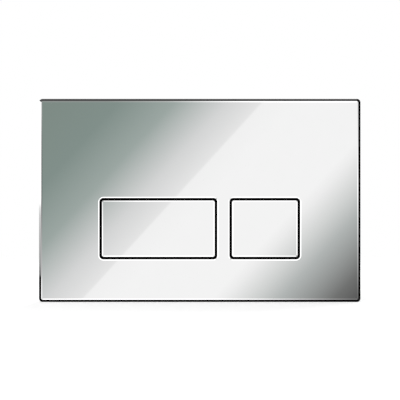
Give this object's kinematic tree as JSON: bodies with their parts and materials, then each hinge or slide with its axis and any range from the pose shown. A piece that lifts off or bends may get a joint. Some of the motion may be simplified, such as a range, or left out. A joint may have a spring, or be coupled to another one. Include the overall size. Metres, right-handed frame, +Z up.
{
  "type": "flush button plate",
  "caption": "Chromed rectangular wall plate with a wide and a narrow flush button that tip in on hinges and push rods into a concealed cistern.",
  "frame": {"origin": "middle of the face plate, on the plane of the wall that it is fixed to", "axes": "+X to the right seen from the room, +Y into the wall, +Z up"},
  "size_m": [0.2464, 0.0659, 0.1556],
  "materials": {
    "chrome_skin": "bright chrome plating on a moulded plastic body",
    "black_plastic": "fine moulded texture",
    "grey_plastic": "fine moulded texture",
    "white_plastic": "smooth natural plastic",
    "blue_plastic": "smooth coloured plastic",
    "dark_plastic": "smooth dark grey plastic",
    "zinc_steel": "bright zinc plating",
    "bright_steel": "ground steel",
    "spring_steel": "drawn steel wire",
    "bumper_rubber": "matt black rubber"
  },
  "bodies": {
    "plate_body": {"face_plate": "chrome_skin", "button_carrier": "black_plastic", "carrier_screws": "zinc_steel", "stop_bumpers": "bumper_rubber", "mounting_frame": "grey_plastic", "full_flush_hinge_pin": "bright_steel", "half_flush_hinge_pin": "bright_steel", "full_flush_return_spring": "spring_steel", "half_flush_return_spring": "spring_steel", "full_flush_rod_bush": "dark_plastic", "half_flush_rod_bush": "dark_plastic", "fixing_stud_left": "zinc_steel", "fixing_stud_right": "zinc_steel", "stud_washer_left": "zinc_steel", "stud_washer_right": "zinc_steel", "thumb_nut_left": "white_plastic", "thumb_nut_right": "white_plastic"},
    "full_flush_lever": {"full_flush_button": "chrome_skin", "full_flush_rocker": "black_plastic"},
    "half_flush_lever": {"half_flush_button": "chrome_skin", "half_flush_rocker": "black_plastic"},
    "full_flush_rod": {"full_flush_push_rod": "white_plastic", "full_flush_rod_tip": "blue_plastic"},
    "half_flush_rod": {"half_flush_push_rod": "white_plastic", "half_flush_rod_tip": "blue_plastic"}
  },
  "joints": [
    {"name": "full_flush_press", "type": "hinge", "parent": "plate_body", "child": "full_flush_lever", "pos_m": [-0.0317, -0.0022, 0.0069], "axis": [1, 0, 0], "range_deg": [0, 8], "stiffness_Nm_per_rad": 0.12, "springref_deg": -34.38, "deforming": ["full_flush_return_spring"]},
    {"name": "full_flush_rod_slide", "type": "slide", "parent": "plate_body", "child": "full_flush_rod", "axis": [0, 1, 0], "range_m": [0, 0.00414]},
    {"name": "half_flush_press", "type": "hinge", "parent": "plate_body", "child": "half_flush_lever", "pos_m": [0.04975, -0.0022, 0.0069], "axis": [1, 0, 0], "range_deg": [0, 8], "stiffness_Nm_per_rad": 0.12, "springref_deg": -34.38, "deforming": ["half_flush_return_spring"]},
    {"name": "half_flush_rod_slide", "type": "slide", "parent": "plate_body", "child": "half_flush_rod", "axis": [0, 1, 0], "range_m": [0, 0.00414]}
  ],
  "couplings": [
    {"joint": "full_flush_rod_slide", "follows": "full_flush_press", "m_per_rad": 0.029376},
    {"joint": "half_flush_rod_slide", "follows": "half_flush_press", "m_per_rad": 0.029376}
  ]
}
